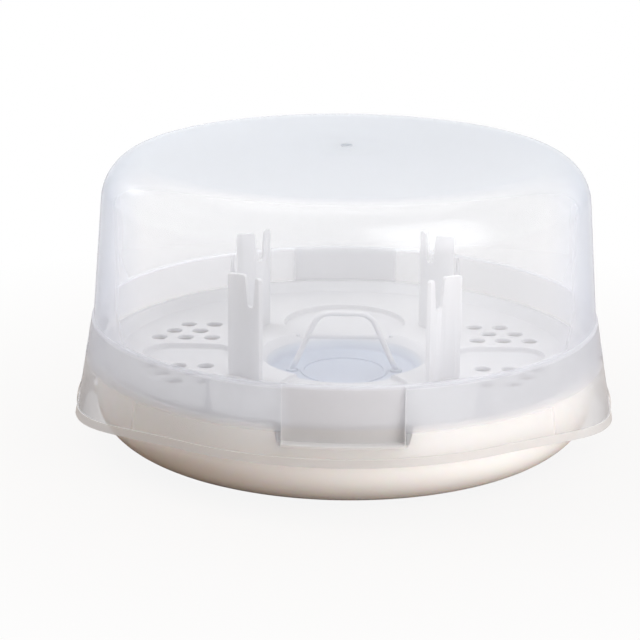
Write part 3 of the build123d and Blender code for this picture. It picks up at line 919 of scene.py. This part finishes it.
def clear_lid(s):
    low = 8 * MM  # where the wall is drawn to before its edge is cut
    wall = s.wall
    step = s.bead_height - s.bead_step
    outside, inside = lid_outline(s, 0, low), lid_outline(s, wall, low)
    top = s.crown + s.gate_height
    mark = rounded([(0, top, 0), (s.gate_radius, top, 0.3 * MM), (s.gate_radius, s.crown, 0)], closed=False)
    outline = [*mark, *outside[1:], *reversed(inside[1:]), (0, inside[0][1])]
    piece = turned("clear_lid", outline)

    # thicker band along the edge, cut to the edge's saddle shape
    high = 40 * MM
    band = turned("lip", [
        (skirt_radius(s, low) - wall / 2, low), (skirt_radius(s, low) + s.lip_out, low),
        (skirt_radius(s, high) + s.lip_out, high), (skirt_radius(s, high) - wall / 2, high),
        (skirt_radius(s, low) - wall / 2, low)])
    band = combined(band, under_edge(s, s.lip), "INTERSECT")
    combined(piece, band, "UNION")
    combined(piece, under_edge(s, 0), "DIFFERENCE")

    # set-back panels, front and rear; a hair off the lid's own faces, so none lie in one plane
    hair, sunk = 0.03 * MM, 0.05 * MM
    inner, outer = s.bead_radius - wall + hair, s.bead_radius - hair
    floor, top = s.panel_height - wall, s.bead_height + 0.3 * MM
    ring = turned("panel", [
        (inner, floor), (skirt_radius(s, floor) - sunk, floor),
        (s.bead_radius + s.bead_step - sunk, step), (outer, top), (inner, top), (inner, floor)])
    half = s.panel_half
    far = 1.3 * s.bead_radius
    ring = combined(ring, block("trim", (-half - wall, -far, 0), (half + wall, 0, s.crown)), "INTERSECT")
    core = rod("core", outer, ((0, 0, 0), (0, 0, s.crown)), SPIN_STEPS)
    space = block("space", (-half, -far, s.panel_height), (half, 0, s.bead_height + 1 * MM))
    combined(ring, combined(space, core, "DIFFERENCE"), "DIFFERENCE")
    gap = block("gap", (-half, -far, s.panel_height),
                (half, -0.8 * s.bead_radius, s.bead_height + 0.1 * MM))
    combined(piece, with_opposite(gap), "DIFFERENCE")
    combined(piece, with_opposite(ring), "UNION")

    # inner ribs that stand on the tray's flange
    rib = prism("rib", [
        (s.rib_inner, s.rib_seat), (skirt_radius(s, s.rib_seat) - wall / 2, s.rib_seat),
        (s.bead_radius + s.bead_step - wall / 2, step), (s.bead_radius - wall / 2, s.bead_height)],
        -s.rib_thickness / 2, s.rib_thickness / 2)
    quarter = math.pi / 2
    ribs = [copy_of(rib, Matrix.Rotation(side + turn, 4, "Z"))
            for side in (-quarter, quarter) for turn in (-s.rib_angle, s.rib_angle)]
    bpy.data.objects.remove(rib)
    combined(piece, joined(ribs), "UNION")

    # openings for the clips, with a boss for each pin
    gate_half = s.clip_half + s.clip_gap
    gate_top = s.pivot_height + s.barrel + s.clip_gap
    gate = block("gate", (0.9 * s.bead_radius, -gate_half, 0), (1.2 * s.bead_radius, gate_half, gate_top))
    combined(piece, with_opposite(gate), "DIFFERENCE")
    boss = (s.boss, 0, s.boss_length, "UNION")
    bore = (s.pin + 0.06 * MM, -1 * MM, s.pin_length + s.clip_gap, "DIFFERENCE")
    for radius, start, end, operation in (boss, bore):
        pair = [rod("pin seat", radius, [(s.pivot_radius, side * (gate_half + reach), s.pivot_height)
                                         for reach in (start, end)]) for side in (-1, 1)]
        combined(piece, with_opposite(joined(pair)), operation)

    return smoothed(piece, angle=35)


def under_edge(s, lift):
    """Everything under the skirt's saddle-shaped edge, raised by a lift."""
    z = s.edge_height + lift
    reach = s.bead_radius * 1.12
    turn = math.degrees(math.asin((reach - s.edge_flat) / s.edge_arc))
    right = arc((s.edge_flat, z - s.edge_arc), s.edge_arc, 90 - turn, 90, 24)
    left = [(-x, y) for x, y in reversed(right)]
    outline = [(-reach, -5 * MM), (reach, -5 * MM), *right, *left]
    return prism("under_edge", outline, -1.3 * s.bead_radius, 1.3 * s.bead_radius)


def side_clip(s):
    """The right clip: a curved pull with a window, a hinge barrel, two pins and an inner nib."""
    t = s.clip_wall
    marks = [(skirt_radius(s, s.pivot_height), s.pivot_height), (skirt_radius(s, s.window_low), s.window_low),
             (skirt_radius(s, s.bulge_height) + s.bulge, s.bulge_height),
             (skirt_radius(s, s.clip_low) - s.clip_tuck, s.clip_low)]
    outer = flowing(marks)
    inner = [(r - t, z) for r, z in outer]
    half = s.clip_half
    piece = swept("side_clip", [*outer, *reversed(inner)], 20, 24)
    combined(piece, block("trim", (0, -half, 0), (2 * s.bead_radius, half, s.bead_height)), "INTERSECT")

    w = s.window_half
    window = prism("window", rounded([
        (-w, s.window_low, 2.5 * MM), (w, s.window_low, 2.5 * MM), (w, s.window_high, 2.5 * MM),
        (-w, s.window_high, 2.5 * MM)]), -1.2 * s.bead_radius, -0.8 * s.bead_radius)
    placed(window, Matrix.Rotation(math.pi / 2, 4, "Z"))
    combined(piece, window, "DIFFERENCE")

    root, nib_top = skirt_radius(s, s.nib_low) - t / 2, s.nib_low + s.nib_height
    nib = swept("nib", [(s.nib_face, s.nib_low), (root, s.nib_low), (root, nib_top), (s.nib_face, nib_top)],
                10, 12)
    trim = block("trim", (0, -s.nib_half, 0), (2 * s.bead_radius, s.nib_half, s.bead_height))
    combined(nib, trim, "INTERSECT")
    combined(piece, nib, "UNION")

    pin_line = Vector((s.pivot_radius, 0, s.pivot_height))
    for radius, reach in ((s.barrel, half), (s.pin, half + s.clip_gap + s.pin_length)):
        ends = [pin_line + Vector((0, side * reach, 0)) for side in (-1, 1)]
        combined(piece, rod("hinge", radius, ends, 40), "UNION")
    return edges_rounded(piece, s.edge_round, angle=45, segments=2)


def flowing(marks, steps=6):
    """A smooth line through the marks."""
    chain = [marks[0], *marks, marks[-1]]
    line = []
    for a, b, c, d in zip(chain, chain[1:], chain[2:], chain[3:]):
        for step in range(steps):
            t = step / steps
            line.append(tuple(
                0.5 * (2 * b[k] + (c[k] - a[k]) * t + (2 * a[k] - 5 * b[k] + 4 * c[k] - d[k]) * t ** 2
                       + (3 * b[k] - a[k] - 3 * c[k] + d[k]) * t ** 3) for k in (0, 1)))
    return [*line, marks[-1]]


class STERILISER_PT_panel(bpy.types.Panel):
    """Lists the steriliser's pieces and their settings"""
    bl_label = "Steriliser"
    bl_idname = "STERILISER_PT_panel"
    bl_space_type = "VIEW_3D"
    bl_region_type = "UI"
    bl_category = "Steriliser"

    def draw(self, context):
        for name, operators in PANEL_ROWS.items():
            settings = getattr(context.scene, name)
            box = self.layout.box()
            for prop in settings.__annotations__:
                box.prop(settings, prop)
            for operator in operators:
                box.operator(operator)


PANEL_ROWS = {
    "steriliser_stage": ["steriliser.stage"],
    "steriliser_base": ["steriliser.base"],
    "steriliser_tray": ["steriliser.tray"],
    "steriliser_lid": ["steriliser.lid"],
}
SETTINGS = {
    "steriliser_stage": StageSettings,
    "steriliser_base": BaseSettings,
    "steriliser_tray": TraySettings,
    "steriliser_lid": LidSettings,
}
OPERATORS = (STERILISER_OT_stage, STERILISER_OT_base, STERILISER_OT_tray, STERILISER_OT_lid)


def register():
    for name, group in SETTINGS.items():
        bpy.utils.register_class(group)
        setattr(bpy.types.Scene, name, bpy.props.PointerProperty(type=group))
    for operator in (*OPERATORS, STERILISER_PT_panel):
        bpy.utils.register_class(operator)


def unregister():
    for operator in (*OPERATORS, STERILISER_PT_panel):
        bpy.utils.unregister_class(operator)
    for name, group in SETTINGS.items():
        delattr(bpy.types.Scene, name)
        bpy.utils.unregister_class(group)


def main():
    register()
    bpy.ops.steriliser.stage()
    bpy.ops.steriliser.base()
    bpy.ops.steriliser.tray()
    bpy.ops.steriliser.lid()
    bpy.context.scene.view_settings.view_transform = "Standard"


if __name__ == "__main__":
    main()
